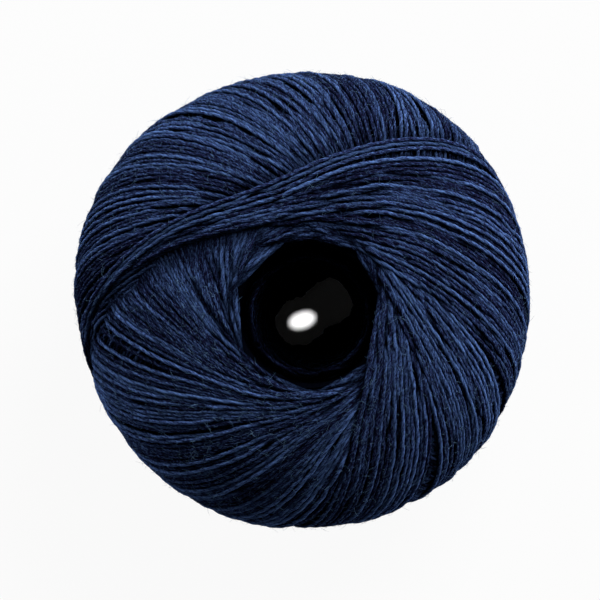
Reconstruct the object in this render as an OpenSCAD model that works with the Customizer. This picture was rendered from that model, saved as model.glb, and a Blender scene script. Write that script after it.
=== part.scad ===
// Donut-shaped ball of machine-wound thread with an open hole through its middle.
// The ball is one long thread. It is built here as the lining wound first round the hole,
// the core wound over it, and five outer wraps that cross each other, the closing wrap last.
// Each modelled strand stands for a small bunch of parallel turns.
// Millimetres, +Z up along the hole, origin on the hole's axis where the ball stands.

/* [Ball] */
// Width of the finished ball over its outer strands
ball_d = 96; // [80:1:120]
// Height of the finished ball along the hole
ball_h = 60; // [50:1:76]
// Squareness of the ball's section, where 2 is an ellipse
squareness = 2.3; // [2:0.1:2.8]
// How far the underside has settled where the ball lies
settle = 1.8; // [1:0.1:2.4]

/* [Hole] */
// Width of the hole at its waist
bore_d = 17; // [12:0.5:22]
// Length of the straight waist
bore_l = 16; // [8:1:22]
// Radius of the flare from the waist out to each mouth
flare_r = 20; // [15:1:28]
// Thickness of the lining round the hole
lining_wall = 3; // [2:0.5:5]

/* [Strands] */
// Width of one modelled strand
strand_d = 2; // [1.6:0.1:2.4]
// Gap between neighbouring turns of one wrap
turn_gap = 0.6; // [0.5:0.1:1.2]
// Gap between two wraps where one crosses the other
cross_gap = 1.4; // [1.2:0.1:2]

/* [Wraps] */
// Turns in each wrap
turns = 6; // [3:1:7]
// Distance from the hole's axis to the innermost strand of a wrap
pass_r = 16.4; // [15:0.1:19]
// Turn about the hole from one wrap to the next
wrap_angle = 72; // [68:1:76]
// Where the closing wrap passes the hole, anticlockwise from +X
closing_angle = 105; // [0:1:359]
// Length of the ramp up to a crossing
ramp = 14; // [11:1:18]
// Width beside a wrap that the next wrap keeps its full height over
shoulder = 2; // [1:0.5:3]

/* [Hidden] */

WRAP_COUNT = 5;
RINGS = 24;
SIDES = 6;
// Where a wrap starts low on the ball's flank, and ends on the underside beside the hole:
// angles along its turns, both between crossings
FLANK_END = 225;
HOLE_END = 180;
STEPS = turns * RINGS - (FLANK_END - HOLE_END) / 360 * RINGS;
// Each strand end stands on the core for a little over its own width
first_h = strand_d * 1.03;
rise = strand_d + cross_gap;
pitch = strand_d + turn_gap;
band_half = pitch * turns / 2;
cover = first_h + strand_d / 2 + rise;
core_r = ball_d / 2 - cover;
core_half = (ball_h + settle) / 2 - cover;
core_z = core_half + cover - settle;
// Where the middle of a wrap passes the hole on the core, and its angle from the hole's axis
mid_r = pass_r + band_half;
mid_z = core_half * pow(1 - pow(mid_r / core_r, squareness), 1 / squareness);
tilt = atan2(mid_r, mid_z);
// A strand's faceted underside lies this far below its middle, and is cut flat by a tenth
// of the strand where the ball stands
strand_low = strand_d / 2 * cos(180 / SIDES);
flat_cut = strand_d / 10;

PROFILE_STEPS = 28;
FLARE_STEPS = 8;
ROUND = 96;

THREAD_DARK = [0.09, 0.12, 0.19];
THREAD = [0.13, 0.18, 0.28];
THREAD_LIGHT = [0.2, 0.28, 0.4];

function unit(v) = v / norm(v);
function smooth_step(x) = let (c = min(1, max(0, x))) c * c * (3 - 2 * c);

// Outer section of the core as [radius, z]: a superellipse by angle from the rim
function signed_pow(x, p) = sign(x) * pow(abs(x), p);
function core_edge(a) = [
    core_r * signed_pow(cos(a), 2 / squareness),
    core_half * signed_pow(sin(a), 2 / squareness)
];

// Wall of the hole as [radius, z], "out" further into the ball: a flare, the waist, a flare
function flare(out, end) = [
    for (i = [0 : FLARE_STEPS])
        let (a = i * 80 / FLARE_STEPS)
        [
            bore_d / 2 + flare_r - (flare_r - out) * cos(a),
            end * (bore_l / 2 + (flare_r - out) * sin(a))
        ]
];
function reversed(list) = [for (i = [len(list) - 1 : -1 : 0]) list[i]];
function hole_wall(out) = concat(reversed(flare(out, -1)), flare(out, 1));

// Directions that span a wrap's middle plane, and the plane's normal
function wrap_turn(w) = closing_angle - (WRAP_COUNT - 1 - w) * wrap_angle;
function wrap_top(w) = [
    sin(tilt) * cos(wrap_turn(w)),
    sin(tilt) * sin(wrap_turn(w)),
    cos(tilt)
];
function wrap_side(w) = [sin(wrap_turn(w)), -cos(wrap_turn(w)), 0];
function wrap_normal(w) = cross(wrap_top(w), wrap_side(w));
NORMALS = [for (w = [0 : WRAP_COUNT - 1]) wrap_normal(w)];

// Point of the core's surface in direction v
function on_core(v) =
    let (
        across = norm([v.x, v.y]) / core_r,
        up = abs(v.z) / core_half
    )
    v * pow(pow(across, squareness) + pow(up, squareness), -1 / squareness);

// Outward normal of the core's surface at point p
function core_normal(p) =
    let (
        across = norm([p.x, p.y]),
        g = pow(across / core_r, squareness - 1) / core_r / across,
        h = signed_pow(p.z / core_half, squareness - 1) / core_half
    )
    unit([g * p.x, g * p.y, h]);

// Foot of a strand on the core, a turn angle along wrap w and "off" beside its middle plane
function direction(w, along, lean) =
    cos(lean) * (cos(along) * wrap_top(w) + sin(along) * wrap_side(w))
    + sin(lean) * NORMALS[w];
function foot(w, along, off, lean = 0, tries = 4) =
    let (p = on_core(direction(w, along, lean)))
    tries == 0 ? p : foot(w, along, off, asin(off / norm(p)), tries - 1);

// Crossings under wrap w at point p: it lies on the highest of the wraps laid before it
function crossings(p, w) = w == 0 ? 0 : levels(p, w)[w];
function levels(p, w, found = [0]) =
    len(found) > w ? found : levels(p, w, concat(found, [level_over(p, found)]));
function level_over(p, found) = max([
    for (a = [0 : len(found) - 1])
        let (beside = abs(p * NORMALS[a]) - band_half - shoulder)
        smooth_step((ramp - beside) / ramp) * (found[a] + 1)
]);

// Height of a strand's middle over the core, held up by the surface the ball stands on
function strand_height(p, n, w) =
    let (
        free = first_h + rise * crossings(p, w),
        low = core_z - strand_low + flat_cut
    )
    n.z < 0 ? min(free, (-low - p.z) / n.z) : free;

// Middle line of wrap w, from its foot on the core to its last foot
function wrap_point(w, i) =
    let (
        p = wrap_foot(w, i),
        n = core_normal(p)
    )
    p + strand_height(p, n, w) * n;
function wrap_foot(w, i) =
    foot(w, FLANK_END + 360 * i / RINGS, pitch * (i - STEPS / 2) / RINGS);
function wrap_line(w) = concat(
    [wrap_foot(w, 0)],
    [for (i = [0 : STEPS]) wrap_point(w, i)],
    [wrap_foot(w, STEPS)]
);

// Ring round point i of a line: mitred at the bend, one corner pair square to the core
function ring_axis(line, i) =
    let (
        before = i == 0 ? line[1] - line[0] : line[i] - line[i - 1],
        after = i == len(line) - 1 ? before : line[i + 1] - line[i]
    )
    unit(unit(before) + unit(after));
function ring_side(line, i) =
    let (j = min(len(line) - 2, max(1, i)))
    unit(cross(core_normal(on_core(line[j])), along_run(line, j)));
function along_run(line, j) =
    j == 1 ? line[2] - line[1] :
    j == len(line) - 2 ? line[j] - line[j - 1] :
    line[j + 1] - line[j - 1];
function ring(line, i) =
    let (
        axis = ring_axis(line, i),
        near_side = ring_side(line, i),
        side = unit(near_side - (near_side * axis) * axis),
        step = i == 0 ? line[1] - line[0] : line[i] - line[i - 1],
        mitre = 1 / (unit(step) * axis),
        up = cross(axis, side) * mitre
    )
    [
        for (k = [0 : SIDES - 1])
            let (a = 360 * (k + 0.5) / SIDES)
            line[i] + strand_d / 2 * (cos(a) * side + sin(a) * up)
    ];

// Least distance from the points of one line to the runs of another, less the strand's width
function to_run(p, a, b) =
    let (
        run = b - a,
        t = min(1, max(0, (p - a) * run / (run * run)))
    )
    norm(p - a - t * run);
function gap_between(line, other, skip) = min([
    for (i = [0 : len(line) - 2], s = [0, 0.5], j = [0 : len(other) - 2])
        if (abs(i - j) > skip)
            to_run(line[i] + s * (line[i + 1] - line[i]), other[j], other[j + 1])
]) - strand_d;

module strand(line) {
    count = len(line);
    corners = [for (i = [0 : count - 1]) each ring(line, i)];
    first_end = [for (k = [1 : SIDES - 2]) [0, k, k + 1]];
    last = (count - 1) * SIDES;
    last_end = [for (k = [1 : SIDES - 2]) [last, last + k + 1, last + k]];
    walls = [
        for (i = [0 : count - 2], k = [0 : SIDES - 1])
            let (
                a = i * SIDES + k,
                b = i * SIDES + (k + 1) % SIDES
            )
            each [[a, a + SIDES, b], [b, a + SIDES, b + SIDES]]
    ];
    standing = [for (c = corners) [c.x, c.y, max(0, c.z + core_z)]];
    polyhedron(standing, concat(first_end, walls, last_end));
}

module wrap(w) {
    line = wrap_line(w);
    echo(wrap = w + 1, gap_to_itself = gap_between(line, line, 2));
    if (w > 0) {
        echo(gap_to_wraps_below = min([
            for (a = [0 : w - 1]) gap_between(line, wrap_line(a), -1)
        ]));
    }
    strand(line);
}

// Thread wound first: it lines the hole and ends flush with the core at both mouths
module start_windings() {
    color(THREAD_DARK)
        translate([0, 0, core_z])
            intersection() {
                core_blank();
                rotate_extrude($fn = ROUND)
                    polygon(concat(hole_wall(0), reversed(hole_wall(lining_wall))));
            }
}

// Thread wound over the lining: the plain mass of the ball under the outer wraps
module body_windings() {
    color(THREAD)
        translate([0, 0, core_z])
            difference() {
                core_blank();
                rotate_extrude($fn = ROUND)
                    polygon(concat(
                        [[0, -core_half * 2]],
                        hole_wall(lining_wall),
                        [[0, core_half * 2]]
                    ));
            }
}

module core_blank() {
    rotate_extrude($fn = ROUND)
        polygon([
            for (i = [0 : PROFILE_STEPS])
                core_edge(-90 + 180 * i / PROFILE_STEPS)
        ]);
}

module first_wrap() {
    color(THREAD_DARK) wrap(0);
}

module second_wrap() {
    color(THREAD) wrap(1);
}

module third_wrap() {
    color(THREAD) wrap(2);
}

module fourth_wrap() {
    color(THREAD) wrap(3);
}

// The last wrap, which lies over all the others and holds them
module closing_wrap() {
    color(THREAD_LIGHT) wrap(4);
}

start_windings();
body_windings();
first_wrap();
second_wrap();
third_wrap();
fourth_wrap();
closing_wrap();
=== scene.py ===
import math

import bpy
import numpy as np
from mathutils import Matrix, Vector


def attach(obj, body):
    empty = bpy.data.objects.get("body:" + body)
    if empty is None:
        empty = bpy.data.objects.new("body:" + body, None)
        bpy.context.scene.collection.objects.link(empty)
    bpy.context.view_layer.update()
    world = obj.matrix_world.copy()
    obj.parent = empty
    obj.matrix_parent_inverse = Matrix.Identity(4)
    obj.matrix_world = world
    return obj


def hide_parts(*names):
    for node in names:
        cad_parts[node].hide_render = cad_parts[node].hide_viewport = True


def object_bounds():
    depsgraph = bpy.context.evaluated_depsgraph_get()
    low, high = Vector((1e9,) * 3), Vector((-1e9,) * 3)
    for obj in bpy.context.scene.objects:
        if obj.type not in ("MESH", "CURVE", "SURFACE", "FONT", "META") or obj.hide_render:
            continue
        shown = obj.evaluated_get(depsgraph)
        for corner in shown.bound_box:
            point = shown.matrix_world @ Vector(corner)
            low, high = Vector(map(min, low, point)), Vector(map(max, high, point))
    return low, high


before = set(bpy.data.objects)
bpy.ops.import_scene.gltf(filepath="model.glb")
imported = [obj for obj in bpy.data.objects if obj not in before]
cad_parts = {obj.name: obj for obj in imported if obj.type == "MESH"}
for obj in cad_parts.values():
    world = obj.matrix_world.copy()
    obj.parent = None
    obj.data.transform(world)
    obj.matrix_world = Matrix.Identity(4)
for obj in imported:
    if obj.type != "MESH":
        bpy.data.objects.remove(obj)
cad_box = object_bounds()

# ---------------------------------------------------------------- Camera
# A long lens above the ball, looking down its hole and a touch from the right, so that the
# far mouth shows beside the near one. The ball sits a little off the middle of the view.
CAMERA_DISTANCE = 0.75
CAMERA_LEAN = Vector((0.030, 0.013, 1.0))
SEEN_WIDTH = 0.1258
low, high = cad_box
BALL_MIDDLE_Z = (low.z + high.z) / 2
aim = Vector((-0.0026, 0.0028, BALL_MIDDLE_Z))

camera_data = bpy.data.cameras.new("camera")
camera_data.sensor_width = 36.0
camera_data.lens = camera_data.sensor_width * CAMERA_DISTANCE / SEEN_WIDTH
camera_data.clip_start = 0.01
camera_data.clip_end = 20.0
camera = bpy.data.objects.new("camera", camera_data)
bpy.context.scene.collection.objects.link(camera)
camera.location = aim + CAMERA_LEAN.normalized() * CAMERA_DISTANCE
back = CAMERA_LEAN.normalized()
right = Vector((0, 1, 0)).cross(back).normalized()
camera.rotation_mode = "QUATERNION"
camera.rotation_quaternion = Matrix((right, back.cross(right), back)).transposed().to_quaternion()
bpy.context.scene.camera = camera
bpy.context.scene.view_settings.view_transform = "Standard"

# ---------------------------------------------------------------- Floor and light
# A white card under the ball, a wide soft window lamp beyond its upper right edge, a low
# lamp at each side, a narrow one that shines down the hole onto the card, and an even pale
# room. Seen directly, the card is nearly as white as the room, except under the ball.
FLOOR_HALF = 3.0
ROOM_LIGHT = 0.066
CARD_GLOW = 0.94
GLOW_FROM, GLOW_TO = 0.030, 0.042
# The lamps: where they stand and how wide they are in metres, and their watts
WINDOW_PLACE = Vector((0.50, 0.86, 0.74))
WINDOW_WATTS, WINDOW_WIDTH = 13.2, 0.7
SIDE_LAMPS = [
    ("left_lamp", Vector((-0.78, 0.52, 0.06)), 6.0),
    ("right_lamp", Vector((0.93, 0.08, 0.05)), 5.0),
]
SIDE_LAMP_WIDTH = 0.5
# The spot of card that is lit through the hole, and the lamp above it
LIT_SPOT = Vector((-0.0030, -0.0020, 0.0))
HOLE_LAMP_ABOVE = Vector((0.012, 0.004, 0.30))
HOLE_LAMP_WATTS = 6.0
HOLE_LAMP_DEGREES = 1.08
HOLE_LAMP_NARROWED = 0.55


def new_material(name):
    """An empty node material: its nodes, its links and its output."""
    material = bpy.data.materials.new(name)
    material.use_nodes = True
    nodes = material.node_tree.nodes
    nodes.clear()
    output = nodes.new("ShaderNodeOutputMaterial")
    return material, nodes, material.node_tree.links, output


def add_lamp(name, kind, place, target, watts):
    """A lamp that faces the target."""
    lamp = bpy.data.lights.new(name, kind)
    lamp.energy = watts
    holder = bpy.data.objects.new(name, lamp)
    bpy.context.scene.collection.objects.link(holder)
    holder.location = place
    holder.rotation_mode = "QUATERNION"
    holder.rotation_quaternion = (target - holder.location).to_track_quat("-Z", "Y")
    return holder


def seen_straight(nodes, links):
    """Light Path's camera, glossy and transmission rays taken together."""
    rays = nodes.new("ShaderNodeLightPath")
    seen = rays.outputs["Is Camera Ray"]
    for kind in ("Is Glossy Ray", "Is Transmission Ray"):
        either = nodes.new("ShaderNodeMath")
        either.operation = "MAXIMUM"
        links.new(seen, either.inputs[0])
        links.new(rays.outputs[kind], either.inputs[1])
        seen = either.outputs[0]
    return seen


bpy.ops.object.select_all(action="DESELECT")
bpy.ops.mesh.primitive_plane_add(size=2 * FLOOR_HALF, location=(0, 0, 0))
floor = bpy.context.object
floor.name = "floor"
card, nodes, links, output = new_material("white_card")
paper = nodes.new("ShaderNodeBsdfDiffuse")
paper.inputs["Color"].default_value = (0.96, 0.96, 0.96, 1.0)
glow = nodes.new("ShaderNodeEmission")
place = nodes.new("ShaderNodeTexCoord")
from_middle = nodes.new("ShaderNodeVectorMath")
from_middle.operation = "LENGTH"
links.new(place.outputs["Object"], from_middle.inputs[0])
clear_of_ball = nodes.new("ShaderNodeMapRange")
clear_of_ball.inputs["From Min"].default_value = GLOW_FROM
clear_of_ball.inputs["From Max"].default_value = GLOW_TO
clear_of_ball.inputs["To Max"].default_value = CARD_GLOW
links.new(from_middle.outputs["Value"], clear_of_ball.inputs["Value"])
share = nodes.new("ShaderNodeMath")
share.operation = "MULTIPLY"
links.new(clear_of_ball.outputs["Result"], share.inputs[0])
links.new(seen_straight(nodes, links), share.inputs[1])
mixed = nodes.new("ShaderNodeMixShader")
links.new(share.outputs[0], mixed.inputs["Fac"])
links.new(paper.outputs[0], mixed.inputs[1])
links.new(glow.outputs[0], mixed.inputs[2])
links.new(mixed.outputs[0], output.inputs["Surface"])
floor.data.materials.append(card)

world = bpy.data.worlds.new("room")
bpy.context.scene.world = world
world.use_nodes = True
nodes, links = world.node_tree.nodes, world.node_tree.links
nodes.clear()
output = nodes.new("ShaderNodeOutputWorld")
strength = nodes.new("ShaderNodeMapRange")
strength.inputs["To Min"].default_value = ROOM_LIGHT
strength.inputs["To Max"].default_value = 1.0
links.new(seen_straight(nodes, links), strength.inputs["Value"])
room = nodes.new("ShaderNodeBackground")
room.inputs["Color"].default_value = (1.0, 1.0, 1.0, 1.0)
links.new(strength.outputs["Result"], room.inputs["Strength"])
links.new(room.outputs[0], output.inputs["Surface"])

middle = Vector((0.0, 0.0, BALL_MIDDLE_Z))
window_lamp = add_lamp("window_lamp", "AREA", WINDOW_PLACE, middle, WINDOW_WATTS)
window_lamp.data.shape = "SQUARE"
window_lamp.data.size = WINDOW_WIDTH
for name, where, watts in SIDE_LAMPS:
    side_lamp = add_lamp(name, "AREA", where, middle, watts)
    side_lamp.data.size = SIDE_LAMP_WIDTH
hole_lamp = add_lamp("hole_lamp", "SPOT", LIT_SPOT + HOLE_LAMP_ABOVE, LIT_SPOT, HOLE_LAMP_WATTS)
hole_lamp.data.spot_size = math.radians(HOLE_LAMP_DEGREES)
hole_lamp.data.spot_blend = 0.15
hole_lamp.data.shadow_soft_size = 0.001
hole_lamp.scale = (HOLE_LAMP_NARROWED, 1.0, 1.0)

# ---------------------------------------------------------------- Packed windings
# The mass of thread under the turns that show: a flattened ring, wound on a round spindle
# that has been drawn out again. Packed thread, matt, darker than the turns over it: its
# near-black colour is painted shade, for the deep gaps between those turns.
MM = 0.001
# The ring's skin in millimetres, with heights above its middle: a superellipse outside,
# from one mouth to the other, and points along the wall of the hole
SKIN_R = 47.75
SKIN_HALF = 31.2
SKIN_SQUARENESS = 2.3
MOUTH_ANGLE = 23.0
HOLE_WALL = [(12.3, 28.2), (12.0, 25.0), (11.3, 18.5), (10.2, 11.0), (9.3, 4.0), (9.0, -4.0),
             (9.0, -13.0), (9.7, -20.0), (12.0, -26.5)]
OUTSIDE_POINTS = 700
SECTION_STEP = 0.25
# Its lips are rounded by running this many steps together, so many times
LIP_STEPS, LIP_ROUNDS = 3, 4
# How the ring has settled: its outside off centre and lumpy, with waves of 2, 3 and 4 a
# turn in millimetres along cosine and sine, its far mouth drawn in, and its foot flat
MOUTH_R, SHOULDER_R = 12.0, 30.0
OFF_CENTRE = np.array([-1.92, 2.92])
LUMPS = [(2, -0.22, -0.13), (3, -0.32, 0.19), (4, -0.34, -0.30)]
FAR_MOUTH_SAG, SAG_TOWARDS = 5.2, 123.0
FAR_MOUTH_Z, FAR_MOUTH_DEEP = -20.0, 5.5
WALL_BACK, WALL_EASE = 2, 3
STANDS_AT, FOOT_SOFTNESS, WELL_ABOVE = 0.52, 0.5, 20
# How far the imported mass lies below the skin, and its steps along and round
PACKED_DEPTH = 2.3
PACKED_SECTION_STEPS, PACKED_SPIN_STEPS = 150, 180


def smoothed(values, width, closed=True):
    """The values run together by a bell of this width, in steps."""
    reach = 3 * width
    bell = np.exp(-0.5 * (np.arange(-reach, reach + 1) / width) ** 2)
    if closed:
        padded = np.concatenate([values[-reach:], values, values[:reach]])
    else:
        padded = np.pad(values, reach, mode="edge")
    return np.convolve(padded, bell / bell.sum(), "valid")


def along_loop(r, z):
    """Length along a closed section up to each of its points, and right round it."""
    steps = np.hypot(np.diff(np.append(r, r[0])), np.diff(np.append(z, z[0])))
    return np.concatenate([[0.0], np.cumsum(steps)])


def skin_section():
    """The ring's section as radius and height above its middle: over the outside from the
    top mouth to the bottom one, then back up the wall of the hole, with rounded lips."""
    angle = np.radians(np.linspace(MOUTH_ANGLE, 180 - MOUTH_ANGLE, OUTSIDE_POINTS))
    across = np.abs(np.sin(angle) / SKIN_R) ** SKIN_SQUARENESS
    up = np.abs(np.cos(angle) / SKIN_HALF) ** SKIN_SQUARENESS
    reach = (across + up) ** (-1 / SKIN_SQUARENESS)
    wall = np.array(HOLE_WALL[::-1])
    r = np.append(reach * np.sin(angle), wall[:, 0])
    z = np.append(reach * np.cos(angle), wall[:, 1])
    for _ in range(LIP_ROUNDS):
        along = along_loop(r, z)
        even = np.arange(0, along[-1], SECTION_STEP)
        r = smoothed(np.interp(even, along, np.append(r, r[0])), LIP_STEPS)
        z = smoothed(np.interp(even, along, np.append(z, z[0])), LIP_STEPS)
    return r, z


skin_r, skin_z = skin_section()
skin_v = along_loop(skin_r, skin_z)
SKIN_ROUND = skin_v[-1]
slope_r = np.roll(skin_r, -1) - np.roll(skin_r, 1)
slope_z = np.roll(skin_z, -1) - np.roll(skin_z, 1)
slope = np.hypot(slope_r, slope_z)
out_r, out_z = -slope_z / slope, slope_r / slope


def on_skin(values, v):
    """A value of the section at length v round it."""
    return np.interp(np.mod(v, SKIN_ROUND), skin_v, np.append(values, values[0]))


def ease(share):
    """A share from 0 to 1, made to start and end gently."""
    return share * share * (3 - 2 * share)


def settle_over(points):
    """Sets the ring's outside over to one side of its hole and makes it a little lumpy, as a
    ball winds unevenly, draws the far mouth in on two sides, and flattens the foot."""
    r = np.hypot(points[:, 0], points[:, 1])
    turn = np.arctan2(points[:, 1], points[:, 0]) - math.radians(SAG_TOWARDS)
    at_far_mouth = np.exp(-((points[:, 2] - FAR_MOUTH_Z) / FAR_MOUTH_DEEP) ** 2)
    in_wall = np.clip((MOUTH_R + WALL_BACK - r) / WALL_EASE, 0, 1) * at_far_mouth
    points[:, :2] *= (1 - FAR_MOUTH_SAG * in_wall * np.cos(turn) ** 2 / r)[:, None]
    share = ease(np.clip((r - MOUTH_R) / (SHOULDER_R - MOUTH_R), 0, 1))
    points[:, :2] += share[:, None] * OFF_CENTRE
    facing = np.arctan2(points[:, 1], points[:, 0])
    lump = sum(c * np.cos(n * facing) + s * np.sin(n * facing) for n, c, s in LUMPS)
    points[:, :2] *= (1 + share * lump / SKIN_R)[:, None]
    above = points[:, 2] + BALL_MIDDLE_Z / MM - STANDS_AT
    near_foot = FOOT_SOFTNESS * np.log1p(np.exp(np.minimum(above, WELL_ABOVE) / FOOT_SOFTNESS))
    points[:, 2] = STANDS_AT + near_foot + np.maximum(above - WELL_ABOVE, 0)
    return points


def place_of(turn, v, depth):
    """Points at an angle round the hole, a length round the section and a depth below the
    skin, in millimetres above the table."""
    r = on_skin(skin_r, v) - on_skin(out_r, v) * depth
    z = on_skin(skin_z, v) - on_skin(out_z, v) * depth
    points = np.stack([r * np.cos(np.radians(turn)), r * np.sin(np.radians(turn)), z], -1)
    return settle_over(points)


bpy.ops.object.select_all(action="DESELECT")
section_v = np.linspace(0, SKIN_ROUND, PACKED_SECTION_STEPS, endpoint=False)
section_r = on_skin(skin_r, section_v) - on_skin(out_r, section_v) * PACKED_DEPTH
section_z = on_skin(skin_z, section_v) - on_skin(out_z, section_v) * PACKED_DEPTH
bpy.ops.mesh.primitive_circle_add(vertices=PACKED_SECTION_STEPS, radius=1.0, location=(0, 0, 0))
body = bpy.context.object
body.name = "packed_windings"
for vertex, r, z in zip(body.data.vertices, section_r, section_z):
    vertex.co = (r * MM, 0.0, z * MM)
bpy.ops.object.mode_set(mode="EDIT")
bpy.ops.mesh.select_all(action="SELECT")
bpy.ops.mesh.spin(steps=PACKED_SPIN_STEPS, angle=math.tau, center=(0, 0, 0), axis=(0, 0, 1))
bpy.ops.mesh.select_all(action="SELECT")
bpy.ops.mesh.remove_doubles(threshold=1e-6)
bpy.ops.mesh.normals_make_consistent(inside=False)
bpy.ops.object.mode_set(mode="OBJECT")
spun = np.empty(3 * len(body.data.vertices))
body.data.vertices.foreach_get("co", spun)
spun = settle_over(spun.reshape(-1, 3) / MM)
body.data.vertices.foreach_set("co", (spun * MM).ravel())
body.data.update()
bpy.ops.object.shade_smooth()

packed, nodes, links, output = new_material("packed_thread_painted_shade")
shader = nodes.new("ShaderNodeBsdfPrincipled")
shader.inputs["Roughness"].default_value = 0.95
shader.inputs["Specular IOR Level"].default_value = 0.0
place = nodes.new("ShaderNodeTexCoord")
grain = nodes.new("ShaderNodeTexNoise")
grain.inputs["Scale"].default_value = 900.0
grain.inputs["Detail"].default_value = 3.0
links.new(place.outputs["Object"], grain.inputs["Vector"])
# Near-black as painted shade: the same thread as the turns, darkened for the gaps it shows in
shades = nodes.new("ShaderNodeValToRGB")
shades.color_ramp.elements[0].color = (0.0003, 0.0005, 0.0012, 1.0)
shades.color_ramp.elements[1].color = (0.0020, 0.0030, 0.0080, 1.0)
links.new(grain.outputs["Fac"], shades.inputs["Fac"])
links.new(shades.outputs["Color"], shader.inputs["Base Color"])
bump = nodes.new("ShaderNodeBump")
bump.inputs["Distance"].default_value = 0.0004
links.new(grain.outputs["Fac"], bump.inputs["Height"])
links.new(bump.outputs["Normal"], shader.inputs["Normal"])
links.new(shader.outputs[0], output.inputs["Surface"])
body.data.materials.append(packed)
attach(body, "root")
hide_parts("body_windings")

# ---------------------------------------------------------------- Windings
# One long two-ply thread. Each turn goes right round the ring, past the hole on top and
# again underneath. The turns are laid here from the last to the first: at the skin where
# nothing crosses them, and a thread's thickness lower under each turn that does.
THREAD_HALF_WIDTH = 0.42
THREAD_HALF_DEPTH = 0.40
STEPS_PER_TURN = 700
# A grid over the skin keeps how deep the turns laid so far reach, and how many pass
CELL = 0.3
CELLS_ROUND = 1000
CELLS_ALONG = int(SKIN_ROUND / CELL)
NOTHING_LAID = -99.0
# How much of the thread's width is tried against the grid, and how much fills it
TRIED_WIDTH, FILLED_WIDTH = 0.85, 0.95
SIDE_STEP = 0.28
# A turn slips into a hollow: how far at most, over what length, what a full slip costs in
# depth, and how finely it tells one hollow from another
SLIP, SLIP_EASE = 0.6, 1.5
SLIP_COST, SLIP_CHOICE = 0.12, 0.08
# It lies no deeper than this with nothing over it, more for each turn over it, and in all
DEEP_UNCROSSED, DEEPER_EACH, SINKS_TO = 0.4, 0.85, 1.7
# It climbs out of a dip by this much of the square of the way, up to a reach, and is then
# eased. Its end joins the start of the next turn over its last few millimetres.
BEND_UNDER, BEND_REACH, DIP_EASE = 0.05, 5, 0.7
JOIN = 8.0
# Places across it where turns hide it, where it is seen, and where it hides other turns
HIDDEN_AT = (-0.2, 0.2)
SEEN_AT = (-0.5, -0.25, 0, 0.25, 0.5)
HIDES_AT = (-0.35, 0, 0.35)
SEEN_EASE, SEEN_SHARE = 0.8, 0.22
# Turns beside it shade it: how near, how much higher for full shade, and the easing
SHADE_REACH, SHADE_RISE, SHADE_EASE = 1.0, 0.8, 0.9


def half_depth_at(x):
    """Half the thread's depth at x beside its middle."""
    return THREAD_HALF_DEPTH * np.sqrt(1 - (x / THREAD_HALF_WIDTH) ** 2)


ceiling = np.full((CELLS_ROUND, CELLS_ALONG), NOTHING_LAID)
layers = np.zeros((CELLS_ROUND, CELLS_ALONG), np.int16)
across_thread = np.linspace(-1, 1, 5) * THREAD_HALF_WIDTH * TRIED_WIDTH
thread_depth = half_depth_at(across_thread)
side_steps = np.arange(-4, 5) * SIDE_STEP
slips = np.linspace(-SLIP, SLIP, 5)


def cells_at(turn, v):
    """The grid's cells at these angles round the hole and lengths round the section."""
    round_cell = np.mod(np.round(turn / 360 * CELLS_ROUND).astype(int), CELLS_ROUND)
    along_cell = np.mod(np.round(v / SKIN_ROUND * CELLS_ALONG).astype(int), CELLS_ALONG)
    return round_cell, along_cell


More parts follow.
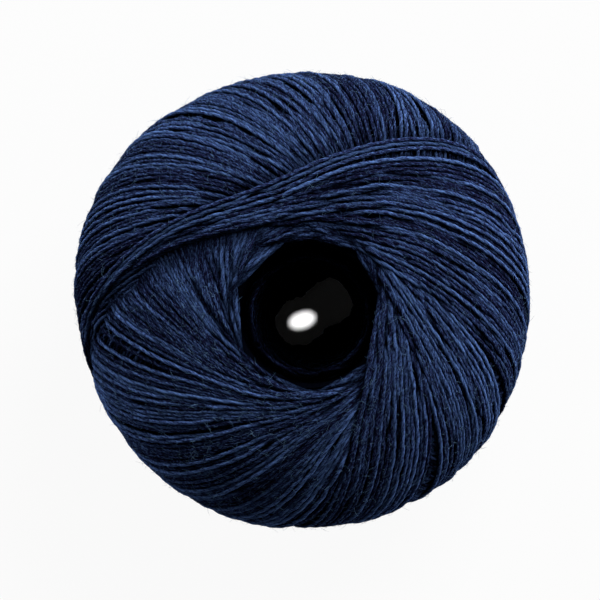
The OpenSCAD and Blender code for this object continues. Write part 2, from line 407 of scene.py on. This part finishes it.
def lay_turn(turn, v, at_rest, joins=None):
    """Lays one turn under those already there. Gives its path after it has slipped
    sideways into the nearest hollow, its depth, how bare and how shaded it is, and where
    it starts, as slip and depth, so that the turn before it can join on."""
    r = on_skin(skin_r, v)
    run_round = np.gradient(np.unwrap(np.radians(turn))) * r
    run_along = np.gradient(v)
    run = np.hypot(run_round, run_along) + 1e-9
    round_share, along_share = run_round / run, run_along / run
    step = run.mean()

    def eased(values, length):
        return smoothed(values, max(1, int(length / step)), closed=False)

    def beside(x, turn=turn, v=v):
        return turn + np.degrees(-along_share * x / r), v + round_share * x

    found = [cells_at(*beside(x)) for x in side_steps]
    over = np.array([ceiling[c] for c in found])
    hid = np.array([layers[c] for c in found])
    steps = np.arange(len(turn))

    def side_index(x):
        place = np.round((x - side_steps[0]) / (side_steps[1] - side_steps[0])).astype(int)
        return np.clip(place, 0, len(side_steps) - 1)

    def depth_needed(slip):
        lowest = at_rest.copy()
        for x, half in zip(across_thread, thread_depth):
            lowest = np.maximum(lowest, over[side_index(slip + x), steps] + half)
        return lowest

    cost = np.array([
        eased(depth_needed(np.full(len(turn), x)), SLIP_EASE) + SLIP_COST * (x / SLIP) ** 2
        for x in slips
    ])
    pull = np.exp(-(cost - cost.min(0)) / SLIP_CHOICE)
    slip = eased((pull * slips[:, None]).sum(0) / pull.sum(0), SLIP_EASE)
    above = np.array([hid[side_index(slip + x), steps] for x in HIDDEN_AT]).min(0)
    deepest = np.minimum(DEEP_UNCROSSED + DEEPER_EACH * above, SINKS_TO)
    needed = np.minimum(depth_needed(slip), deepest)
    depth = needed.copy()
    for k in range(1, int(BEND_REACH / step)):
        held = needed - BEND_UNDER * (k * step) ** 2
        depth[k:] = np.maximum(depth[k:], held[:-k])
        depth[:-k] = np.maximum(depth[:-k], held[k:])
    depth = eased(depth, DIP_EASE)
    if joins is not None:
        share = ease(np.clip((steps - (len(turn) - 1) + JOIN / step) / (JOIN / step), 0, 1))
        slip = slip * (1 - share) + joins[0] * share
        depth = depth * (1 - share) + joins[1] * share
    uncovered = np.array([hid[side_index(slip + x), steps] == 0 for x in SEEN_AT])
    bare = eased(uncovered.mean(0), SEEN_EASE)
    shades_at = np.linspace(-SHADE_REACH, SHADE_REACH, 9)
    beside_it = np.array([over[side_index(slip + x), steps] for x in shades_at])
    higher = np.clip((depth - beside_it + THREAD_HALF_DEPTH) / SHADE_RISE, 0, 1)
    shadow = eased((higher * (beside_it > NOTHING_LAID)).mean(0), SHADE_EASE)
    starts = slip[0], depth[0]
    turn, v = beside(slip)
    for x in np.linspace(-1, 1, 7) * THREAD_HALF_WIDTH * FILLED_WIDTH:
        np.maximum.at(ceiling, cells_at(*beside(x, turn, v)), depth + half_depth_at(x))
    middle_cells = [cells_at(*beside(x, turn, v)) for x in HIDES_AT]
    touched = np.unique(np.concatenate(middle_cells, axis=1), axis=1)
    layers[touched[0], touched[1]] += 1
    return turn, v, depth, bare, shadow, starts


# The ring's outside by angle from the hole's axis: the length round the section there, and
# for the top of the ball the distance from the axis
TOP_POLAR = 70
outside = np.where(out_r * skin_r + out_z * skin_z > 0)[0]
outside_polar = np.degrees(np.arctan2(skin_r, skin_z))[outside]
outside_v = skin_v[outside]
before_start = (outside_v > SKIN_ROUND / 2) & (outside_polar < 90)
outside_v = np.where(before_start, outside_v - SKIN_ROUND, outside_v)
order = np.argsort(outside_polar)
outside_polar, outside_v = outside_polar[order], outside_v[order]
near_top = (skin_z[outside][order] > 0) & (outside_polar < TOP_POLAR)
tops_r, tops_polar = skin_r[outside][order][near_top], outside_polar[near_top]


def skew_terms(left, right):
    """How a turn's phase is skewed so that it drops to the widest line at these angles."""
    a, b = math.radians(left), math.radians(right)
    table = [[math.sin(a), 1 - math.cos(a)], [-math.sin(b), 1 - math.cos(b)]]
    return np.linalg.solve(table, [90 - left, right - 90])


def turn_path(phase, passes_at, lean, skew, lop):
    """A turn's angle round the hole and its length round the section."""
    t, lean = np.radians(phase), np.radians(lean)
    x, y, z = np.cos(t) * np.sin(lean), -np.sin(t), np.cos(t) * np.cos(lean)
    level = np.unwrap(np.arctan2(y, x))
    skewed = level.copy()
    for _ in range(SKEW_ROUNDS):
        skewed = level - np.radians(skew) * np.sin(skewed) - np.radians(lop) * (1 - np.cos(skewed))
    v = np.interp(np.degrees(np.arccos(z)), outside_polar, outside_v)
    return passes_at + np.degrees(skewed), v


rng = np.random.default_rng(11)
SKEW_ROUNDS = 12
ADVANCE = 1.12
# A turn passes the hole at an angle, anticlockwise from +X, and at a distance from its
# axis, and drops to the ring's widest line so many degrees round on its left and its
# right. A band gives the angle where it starts, then its first and its last turn's
# distance, and their drops on the right.
BANDS = [
    (-262, 16.0, 20.0, 86, 80),
    (-214, 16.4, 17.8, 62, 94),
    (-155, 16.0, 17.8, 97, 110),
    (-130, 15.0, 16.8, 112, 112),
    (-80, 18.2, 19.6, 111, 84),
    (-12, 13.4, 20.4, 76, 90),
    (23, 17.3, 20.3, 80, 88),
    (53, 17.4, 18.8, 80, 88),
    (72, 17.5, 19.3, 90, 104),
]
CLOSING_AT = 98
# The closing turns and the pair over them: the angle, the distance and both drops of the
# first, what is added by the last, or by each more of the pair, and how far they stray
CLOSING_TURNS = 20
CLOSING_FIRST = (CLOSING_AT + 1.2, 19.5, 94.2, 106.6)
CLOSING_ADDS = (9.0, 4.0, -2.6, -21.1)
CLOSING_STRAYS = (0.2, 0.15, 0.3, 0.4)
TOP_PAIR = 2
PAIR_FIRST = (112.0, 24.7, 88, 82.6)
PAIR_ADDS = (0.3, 0.4, -0.3, -0.5)
# The bands before these, which hardly show: how much more of the way round they take, the
# ranges of their distances and of the angle between two, and what they leave before these
EARLY_TURNS_ROUND = 0.9
EARLY_INNER, EARLY_OUTER = (14.3, 15.8), (19.5, 22)
EARLY_APART, EARLY_CLEAR = (35, 60), 15
# A turn at the even distance drops a quarter round on its left, and one further out more
EVEN_DISTANCE, DROP_PER_MM = 18.5, 1.4
# The first turns of a band run on their own, a little ahead of the rest
AHEAD_SHARE, AHEAD_TURNS = 0.35, 2
# How far a turn of a band strays by chance
STRAY_ANGLE, STRAY_DISTANCE, STRAY_LEFT, STRAY_RIGHT = 0.28, 0.15, 0.5, 0.6


def left_drop(distance):
    """How far round a turn drops on its left, less for one that passes near the hole, so
    that the turns stay evenly spread over the ball's shoulder."""
    return 90 + DROP_PER_MM * (distance - EVEN_DISTANCE)


early = []
at = CLOSING_AT - 360 * (1 + EARLY_TURNS_ROUND)
while at < BANDS[0][0] - EARLY_CLEAR:
    inner, outer = rng.uniform(*EARLY_INNER), rng.uniform(*EARLY_OUTER)
    early.append((at, inner, outer, left_drop(inner), left_drop(outer)))
    at += rng.uniform(*EARLY_APART)
bands = early + BANDS
ends = [band[0] for band in bands[1:]] + [CLOSING_AT]
turns = []
for (start, inner, outer, right_first, right_last), end in zip(bands, ends):
    count = max(2, int(round((end - start) / ADVANCE)))
    for j in range(count):
        f = j / count
        distance = inner + (outer - inner) * f + rng.normal(0, STRAY_DISTANCE)
        ahead = AHEAD_SHARE * (1 - math.exp(-j / AHEAD_TURNS)) + (1 - AHEAD_SHARE) * f
        right = right_first + (right_last - right_first) * ahead
        turns.append((
            start + (end - start) * f + rng.normal(0, STRAY_ANGLE),
            distance,
            left_drop(distance) + rng.normal(0, STRAY_LEFT),
            right + rng.normal(0, STRAY_RIGHT),
        ))
for j in range(CLOSING_TURNS):
    f = j / (CLOSING_TURNS - 1)
    turns.append(tuple(
        first + adds * f + rng.normal(0, strays)
        for first, adds, strays in zip(CLOSING_FIRST, CLOSING_ADDS, CLOSING_STRAYS)
    ))
for j in range(TOP_PAIR):
    turns.append(tuple(first + adds * j for first, adds in zip(PAIR_FIRST, PAIR_ADDS)))
shapes = np.array([
    (passes_at, np.interp(distance, tops_r, tops_polar), *skew_terms(left, right))
    for passes_at, distance, left, right in turns
])

FIRST_CLOSING = len(shapes) - CLOSING_TURNS - TOP_PAIR
# Every other turn is sunk, apart from a few that change places, and each ripples a little.
# The closing turns stand proud where they pass over the top, and settle in at the sides.
SWAPPED_SHARE = 0.25
SUNK_LEAST, SUNK_MOST = 0.35, 0.75
RIPPLE = 0.12
OVER_TOP_FROM, OVER_TOP_TO, OVER_TOP_EASE = 85, 285, 30
CLOSING_PROUD, PAIR_PROUD = 0.4, 0.3
phase = np.linspace(0, 360, STEPS_PER_TURN)
laid = []
joins = None
for k in range(len(shapes) - 1, -1, -1):
    following = shapes[min(k + 1, len(shapes) - 1)]
    share = (phase / 360)[:, None]
    shape = shapes[k] * (1 - share) + following * share
    turn, v = turn_path(180 + phase, *shape.T)
    raised = (k % 2 == 0) != (rng.uniform() < SWAPPED_SHARE)
    sunk = 0.0 if raised else rng.uniform(SUNK_LEAST, SUNK_MOST)
    ripple = 1 + np.sin(np.radians(2 * phase + rng.uniform(0, 360)))
    at_rest = sunk + RIPPLE * ripple * rng.uniform(0, 1)
    up_to_top = np.clip((phase - OVER_TOP_FROM) / OVER_TOP_EASE, 0, 1)
    on_top = up_to_top * np.clip((OVER_TOP_TO - phase) / OVER_TOP_EASE, 0, 1)
    if k >= FIRST_CLOSING:
        at_rest -= CLOSING_PROUD * on_top
    if k >= len(shapes) - TOP_PAIR:
        at_rest -= PAIR_PROUD * on_top
    turn, v, depth, bare, shadow, joins = lay_turn(turn, v, at_rest, joins)
    laid.append((k, sunk, turn, v, depth, bare, shadow))

# The first turns, laid aslant round the wall of the hole: how far each is turned from the
# last, how far it swings up and down the wall, and how much more the one that reaches
# furthest swings and lies below the middle of the wall
LINING = -1
LINING_TURNS, LINING_STEPS = 90, 420
LINING_TURNED, LINING_STRAYS = 23.5, 3
LINING_SWING, SWING_ADDS, DROP_ADDS = 13, 14.5, 2.5
FAR_REACH_POWER = 0.7
# Painted shade added to the lining turns, which lie deep in the hole
SHADE_IN_HOLE = 0.28
wall_from = len(skin_z) * 3 // 4
lining_middle = np.interp(0.0, skin_z[wall_from:], skin_v[:-1][wall_from:])
for k in range(LINING_TURNS):
    further = rng.uniform(0, 1) ** FAR_REACH_POWER
    start = LINING_TURNED * k + rng.normal(0, LINING_STRAYS)
    steps = np.linspace(0, 360, LINING_STEPS)
    swing = (LINING_SWING + SWING_ADDS * further) * np.cos(np.radians(steps - start))
    v = lining_middle - DROP_ADDS * further + swing
    turn, v, depth, bare, shadow, _ = lay_turn(-steps, v, np.zeros(len(steps)))
    laid.append((LINING, 0.0, turn, v, depth, bare, shadow + SHADE_IN_HOLE))

# A stretch is given a lead of this many steps, and shorter ones than these are left out
LEAD_STEPS, SHORTEST_STEPS = 4, 10


def seen_runs(bare):
    """The stretches of a turn that can be seen between the turns over it, each with a short
    lead under them at either end."""
    seen = bare > SEEN_SHARE
    wide = seen.copy()
    for k in range(1, LEAD_STEPS + 1):
        wide[k:] |= seen[:-k]
        wide[:-k] |= seen[k:]
    edges = np.flatnonzero(np.diff(np.concatenate([[0], wide.astype(int), [0]])))
    return [(a, b) for a, b in zip(edges[::2], edges[1::2]) if b - a > SHORTEST_STEPS]


# The two plies: the length of a twist, and round the thread its section in millimetres and
# its painted light and shade, least in the crease between the plies
PLY_PITCH = 8.2
SECTION = np.array([0.49, 0.45, 0.37, 0.45] * 2)
PLY_LIGHT = np.array([1.0, 0.90, 0.42, 0.90] * 2)
SIDES = len(SECTION)
side_angle = np.arange(SIDES) * math.tau / SIDES
# The faces that close an end, and a short way outwards that tells which side is its crown
END_CAP = np.array([[7, 6, 5, 4], [7, 4, 3, 0], [0, 3, 2, 1]])
OUTWARDS = 0.5
# How the painted shade falls, multiplied into the thread's colour: from the thread's crown to
# its underside, with its depth, in the shade of the turns beside it, and in the hole's mouth
# between two heights over the table
UNDERSIDE_FROM, CROWN_SPAN, UNDERSIDE_LIGHT = 0.35, 1.1, 0.10
FADE_DEPTH = 0.9
SHADE_GAIN, SHADE_SPARED, SHADE_MOST = 2.1, 0.15, 0.9
HOLE_DARK_AT, HOLE_LIT_AT, HOLE_DARK_MOST = 44.0, 59.5, 0.97
MOUTH_REACH, MOUTH_EASE = 6, 4


def thread_mesh(name, stretches):
    """One mesh of all these stretches, a twisted two-lobed tube each, with closed ends."""
    points, faces, runs, tones_and_shades, lights = [], [], [], [], []
    first = 0
    for turn, v, depth, shadow, tone_and_shade, length in stretches:
        centre = place_of(turn, v, depth)
        ahead = np.gradient(centre, axis=0)
        step = np.linalg.norm(ahead, axis=1)
        ahead /= step[:, None]
        lift = place_of(turn, v, depth - OUTWARDS) - centre
        lift -= (lift * ahead).sum(1)[:, None] * ahead
        lift /= np.linalg.norm(lift, axis=1)[:, None] + 1e-9
        side = np.cross(ahead, lift)
        along = length + np.cumsum(step)
        twist = along / PLY_PITCH * math.tau
        angle = side_angle[None, :] + twist[:, None]
        ring = (np.cos(angle) * SECTION)[..., None] * lift[:, None, :]
        ring = ring + (np.sin(angle) * SECTION)[..., None] * side[:, None, :]
        points.append((centre[:, None, :] + ring).reshape(-1, 3))
        count = len(centre)
        a = first + np.arange(count - 1)[:, None] * SIDES + np.arange(SIDES)[None, :]
        b = first + np.arange(count - 1)[:, None] * SIDES + (np.arange(SIDES)[None, :] + 1) % SIDES
        faces.append(np.stack([a, b, b + SIDES, a + SIDES], -1).reshape(-1, 4))
        faces.append(first + END_CAP)
        faces.append(first + (count - 1) * SIDES + END_CAP[:, ::-1])
        # Painted shade: the thread darker from its crown to its underside
        crown = ease(np.clip((np.cos(angle) + UNDERSIDE_FROM) / CROWN_SPAN, 0, 1))
        crown = UNDERSIDE_LIGHT + (1 - UNDERSIDE_LIGHT) * crown
        # Painted shadow of the turns beside it, and painted shade with depth
        shade = SHADE_MOST * np.clip(SHADE_GAIN * shadow - SHADE_SPARED, 0, 1)
        light = np.exp(-np.maximum(depth, 0) / FADE_DEPTH) * (1 - shade)
        # Painted shade down the hole's mouth
        from_axis = np.hypot(centre[:, 0], centre[:, 1])
        in_mouth = np.clip((MOUTH_R + MOUTH_REACH - from_axis) / MOUTH_EASE, 0, 1)
        up_hole = np.clip((centre[:, 2] - HOLE_DARK_AT) / (HOLE_LIT_AT - HOLE_DARK_AT), 0, 1)
        light = light * (1 - HOLE_DARK_MOST * in_mouth * (1 - up_hole ** 2))
        lights.append((crown * PLY_LIGHT[None, :] * light[:, None]).ravel())
        tones_and_shades.append(np.full(count * SIDES, tone_and_shade))
        run = np.empty((count, SIDES, 3))
        run[..., 0] = np.cos(side_angle)[None, :]
        run[..., 1] = np.sin(side_angle)[None, :]
        run[..., 2] = along[:, None]
        runs.append(run.reshape(-1, 3))
        first += count * SIDES
    points, faces = np.concatenate(points) * MM, np.concatenate(faces)
    mesh = bpy.data.meshes.new(name)
    mesh.vertices.add(len(points))
    mesh.vertices.foreach_set("co", points.ravel())
    mesh.loops.add(faces.size)
    mesh.loops.foreach_set("vertex_index", faces.ravel())
    mesh.polygons.add(len(faces))
    mesh.polygons.foreach_set("loop_start", np.arange(len(faces)) * 4)
    mesh.update(calc_edges=True)
    mesh.validate()
    mesh.polygons.foreach_set("use_smooth", np.ones(len(mesh.polygons), bool))
    for label, values in (("tone_and_shade", tones_and_shades), ("light", lights)):
        layer = mesh.attributes.new(label, "FLOAT", "POINT")
        layer.data.foreach_set("value", np.concatenate(values))
    run_layer = mesh.attributes.new("run", "FLOAT_VECTOR", "POINT")
    run_layer.data.foreach_set("vector", np.concatenate(runs).ravel())
    piece = bpy.data.objects.new(name, mesh)
    bpy.context.scene.collection.objects.link(piece)
    return piece


# The thread's finish: streaks of fibre along it, which with each turn's tone and painted
# shade pick its shade from the ramp, from the darkest to the palest
STREAK_CONTRAST = 4.8
thread, nodes, links, output = new_material("navy_thread")
shader = nodes.new("ShaderNodeBsdfPrincipled")
shader.inputs["Roughness"].default_value = 0.85
shader.inputs["Sheen Weight"].default_value = 0.05
shader.inputs["Sheen Roughness"].default_value = 0.25
shader.inputs["Sheen Tint"].default_value = (0.20, 0.50, 1.0, 1.0)
shader.inputs["Specular IOR Level"].default_value = 0.0
run_input = nodes.new("ShaderNodeAttribute")
run_input.attribute_name = "run"
stretch = nodes.new("ShaderNodeMapping")
stretch.inputs["Scale"].default_value = (2.3, 2.3, 1.1)
links.new(run_input.outputs["Vector"], stretch.inputs["Vector"])
fibres = nodes.new("ShaderNodeTexNoise")
fibres.inputs["Scale"].default_value = 1.0
fibres.inputs["Detail"].default_value = 4.0
fibres.inputs["Roughness"].default_value = 0.72
links.new(stretch.outputs["Vector"], fibres.inputs["Vector"])
tone_and_shade_input = nodes.new("ShaderNodeAttribute")
tone_and_shade_input.attribute_name = "tone_and_shade"
streaked = nodes.new("ShaderNodeMath")
streaked.operation = "MULTIPLY_ADD"
streaked.inputs[1].default_value = STREAK_CONTRAST
links.new(fibres.outputs["Fac"], streaked.inputs[0])
links.new(tone_and_shade_input.outputs["Fac"], streaked.inputs[2])
shades = nodes.new("ShaderNodeValToRGB")
ramp = shades.color_ramp
ramp.elements[0].position = 0.25
ramp.elements[0].color = (0.0100, 0.0095, 0.0340, 1.0)
ramp.elements[1].position = 1.0
ramp.elements[1].color = (0.1400, 0.2650, 0.6400, 1.0)
middle_shade = ramp.elements.new(0.62)
middle_shade.color = (0.0400, 0.0625, 0.2030, 1.0)
links.new(streaked.outputs[0], shades.inputs["Fac"])
# The ramp's colour is scaled by the painted light and shade held in the light attribute
painted_light_input = nodes.new("ShaderNodeAttribute")
painted_light_input.attribute_name = "light"
shaded = nodes.new("ShaderNodeVectorMath")
shaded.operation = "SCALE"
links.new(shades.outputs["Color"], shaded.inputs[0])
links.new(painted_light_input.outputs["Fac"], shaded.inputs["Scale"])
links.new(shaded.outputs["Vector"], shader.inputs["Base Color"])
bump = nodes.new("ShaderNodeBump")
bump.inputs["Distance"].default_value = 0.00010
links.new(fibres.outputs["Fac"], bump.inputs["Height"])
links.new(bump.outputs["Normal"], shader.inputs["Normal"])
links.new(shader.outputs[0], output.inputs["Surface"])

PASS_NAMES = ["first", "second", "third", "fourth", "fifth", "sixth", "seventh", "eighth"]
UNDER_WRAPS = ["first_wrap", "second_wrap", "third_wrap", "fourth_wrap"]
# The tone of a whole turn, darker for a sunk turn and darkest for a lining turn as painted
# shade, and how far it strays at random; and one step in how many its mesh keeps
RAISED_TONE, SUNK_SHADED_TONE, TONE_STRAYS = -1.66, -1.98, 0.10
LINING_SHADED_TONE, LINING_TONE_STRAYS = -2.2, 0.05
LINING_STARTS_WITHIN = 500
TURN_KEEPS, LINING_KEEPS = 2, 4


def step_lengths(turn, v, depth):
    """The lengths of a laid turn's steps."""
    return np.linalg.norm(np.diff(place_of(turn, v, depth), axis=0), axis=1)


groups = {"closing_windings": [], "lining_windings": [], "winding": []}
lengths = np.zeros(len(shapes) + 1)
for k, sunk, turn, v, depth, bare, shadow in laid:
    if k != LINING:
        lengths[k + 1] = step_lengths(turn, v, depth).sum()
starts_at = np.cumsum(lengths)
for k, sunk, turn, v, depth, bare, shadow in sorted(laid, key=lambda one: one[0]):
    # Sunk and lining turns are darker as painted shade; the random stray is the thread's own tone
    tone_and_shade = (RAISED_TONE if sunk == 0 else SUNK_SHADED_TONE) + rng.normal(0, TONE_STRAYS)
    if k == LINING:
        name = "lining_windings"
        tone_and_shade = LINING_SHADED_TONE + rng.normal(0, LINING_TONE_STRAYS)
        from_start = np.full(len(turn), rng.uniform(0, LINING_STARTS_WITHIN))
    else:
        name = "closing_windings" if k >= FIRST_CLOSING else "winding"
        along = np.cumsum(step_lengths(turn, v, depth))
        from_start = starts_at[k] + np.concatenate([[0], along])
    for a, b in seen_runs(bare):
        keep = slice(a, b, LINING_KEEPS if k == LINING else TURN_KEEPS)
        groups[name].append((turn[keep], v[keep], depth[keep], shadow[keep], tone_and_shade, from_start[a]))
passes = [[] for _ in PASS_NAMES]
share_each = sum(len(one[0]) for one in groups["winding"]) / len(passes)
so_far = 0
for one in groups["winding"]:
    passes[min(int(so_far / share_each), len(passes) - 1)].append(one)
    so_far += len(one[0])
pieces = [("lining_windings", "start_windings", groups["lining_windings"])]
for i, (name, rows) in enumerate(zip(PASS_NAMES, passes)):
    pieces.append((f"{name}_winding_pass", UNDER_WRAPS[i * len(UNDER_WRAPS) // len(passes)], rows))
pieces.append(("closing_windings", "closing_wrap", groups["closing_windings"]))
for name, node, rows in pieces:
    piece = thread_mesh(name, rows)
    piece.data.materials.append(thread)
    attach(piece, "root")
    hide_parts(node)

# ---------------------------------------------------------------- Loose fibres
# Ends of fibre that stand off the thread all over the ball, about as fine as a hair and up
# to three millimetres long. Each is spun into the thread at its root and tapers to its tip.
FIBRE_COUNT = 11000
FIBRE_HALF_THICK, FIBRE_TAPER = 0.027, 0.6
FIBRE_SIDES = 3
FIBRE_RINGS = np.array([0.0, 0.35, 0.7])
SHORTEST_FIBRE, FIBRE_ADDS, LONGEST_FIBRE = 0.5, 0.55, 2.6
# A root is on a turn that is so bare and no deeper than this, and above its middle
ROOT_BARE, ROOT_DEEPEST = 0.6, 0.5
ROOT_RAISED, OVER_ROOT = 0.3, 0.8
# A fibre's lean off the thread's run, and as shares of its length its rise, droop and curl
LEAN_SPREAD = 0.7
LEAST_RISE, MOST_RISE, DROOP = 0.15, 1.05, 0.4
CURL_SPREAD = 0.45
JUST_AHEAD = 0.05
CLEAR_OF_TABLE = 0.1


def unit_across(vectors, ahead=None):
    """The vectors at unit length, square to a second set where one is given."""
    if ahead is not None:
        vectors = vectors - (vectors * ahead).sum(-1, keepdims=True) * ahead
    return vectors / (np.linalg.norm(vectors, axis=-1, keepdims=True) + 1e-9)


fibre_rng = np.random.default_rng(23)
roots = []
for k, sunk, turn, v, depth, bare, shadow in laid:
    bared = np.flatnonzero((bare[:-1] > ROOT_BARE) & (depth[:-1] < ROOT_DEEPEST))
    if k != LINING:
        row = [turn[bared], v[bared], depth[bared], turn[bared + 1], v[bared + 1]]
        roots.append(np.stack(row, -1))
roots = np.concatenate(roots)
chosen = fibre_rng.choice(len(roots), FIBRE_COUNT, replace=False)
turn, v, depth, next_turn, next_v = roots[chosen].T
root = place_of(turn, v, depth - ROOT_RAISED)
ahead = unit_across(place_of(next_turn, next_v, depth - ROOT_RAISED) - root)
lift = unit_across(place_of(turn, v, depth - OVER_ROOT) - root, ahead)
side = np.cross(ahead, lift)
length = SHORTEST_FIBRE + fibre_rng.exponential(FIBRE_ADDS, FIBRE_COUNT)
length = np.minimum(length, LONGEST_FIBRE)[:, None]
heading = fibre_rng.normal(0, LEAN_SPREAD, FIBRE_COUNT)
heading = (heading + math.pi * fibre_rng.integers(0, 2, FIBRE_COUNT))[:, None]
leans = np.cos(heading) * ahead + np.sin(heading) * side
bends = -np.sin(heading) * ahead + np.cos(heading) * side
rise = fibre_rng.uniform(LEAST_RISE, MOST_RISE, FIBRE_COUNT)[:, None]
curl = fibre_rng.normal(0, CURL_SPREAD, FIBRE_COUNT)[:, None]


def along_fibre(t):
    """Where every fibre is at this share of its length."""
    return root + length * (t * leans + rise * (t - DROOP * t * t) * lift + curl * t * t * bends)


corners = []
for t in FIBRE_RINGS:
    runs = unit_across(along_fibre(t + JUST_AHEAD) - along_fibre(t))
    up = unit_across(lift, runs)
    sideways = np.cross(runs, up)
    for i in range(FIBRE_SIDES):
        angle = math.tau * i / FIBRE_SIDES
        corner = math.cos(angle) * up + math.sin(angle) * sideways
        corners.append(along_fibre(t) + FIBRE_HALF_THICK * (1 - FIBRE_TAPER * t) * corner)
corners.append(along_fibre(1.0))
triangles = [(2, 1, 0)]
for ring in range(len(FIBRE_RINGS)):
    for i in range(FIBRE_SIDES):
        a, b = ring * FIBRE_SIDES + i, ring * FIBRE_SIDES + (i + 1) % FIBRE_SIDES
        if ring == len(FIBRE_RINGS) - 1:
            triangles.append((a, b, len(corners) - 1))
        else:
            triangles += [(a, b, b + FIBRE_SIDES), (a, b + FIBRE_SIDES, a + FIBRE_SIDES)]
points = np.stack(corners, 1)
# a fibre that would reach the table is pressed into the thread there, and isn't seen
points = points[points[:, :, 2].min(1) > CLEAR_OF_TABLE]
firsts = np.arange(len(points))[:, None, None] * len(corners)
points = points.reshape(-1, 3) * MM
faces = (firsts + np.array(triangles)[None]).reshape(-1, 3)
mesh = bpy.data.meshes.new("loose_fibres")
mesh.from_pydata(points.tolist(), [], faces.tolist())
fuzz = bpy.data.objects.new("loose_fibres", mesh)
bpy.context.scene.collection.objects.link(fuzz)

fibre, nodes, links, output = new_material("fibre_ends")
shader = nodes.new("ShaderNodeBsdfPrincipled")
shader.inputs["Roughness"].default_value = 0.7
shader.inputs["Specular IOR Level"].default_value = 0.1
place = nodes.new("ShaderNodeTexCoord")
patches = nodes.new("ShaderNodeTexNoise")
patches.inputs["Scale"].default_value = 700.0
links.new(place.outputs["Object"], patches.inputs["Vector"])
# A paler steel blue than the thread, as painted sheen of the light the fuzz catches at the rim,
# varying at random in patches
shades = nodes.new("ShaderNodeValToRGB")
shades.color_ramp.elements[0].position = 0.35
shades.color_ramp.elements[0].color = (0.040, 0.085, 0.190, 1.0)
shades.color_ramp.elements[1].position = 0.70
shades.color_ramp.elements[1].color = (0.220, 0.400, 0.620, 1.0)
links.new(patches.outputs["Fac"], shades.inputs["Fac"])
links.new(shades.outputs["Color"], shader.inputs["Base Color"])
links.new(shader.outputs[0], output.inputs["Surface"])
fuzz.data.materials.append(fibre)
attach(fuzz, "root")
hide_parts("closing_wrap")
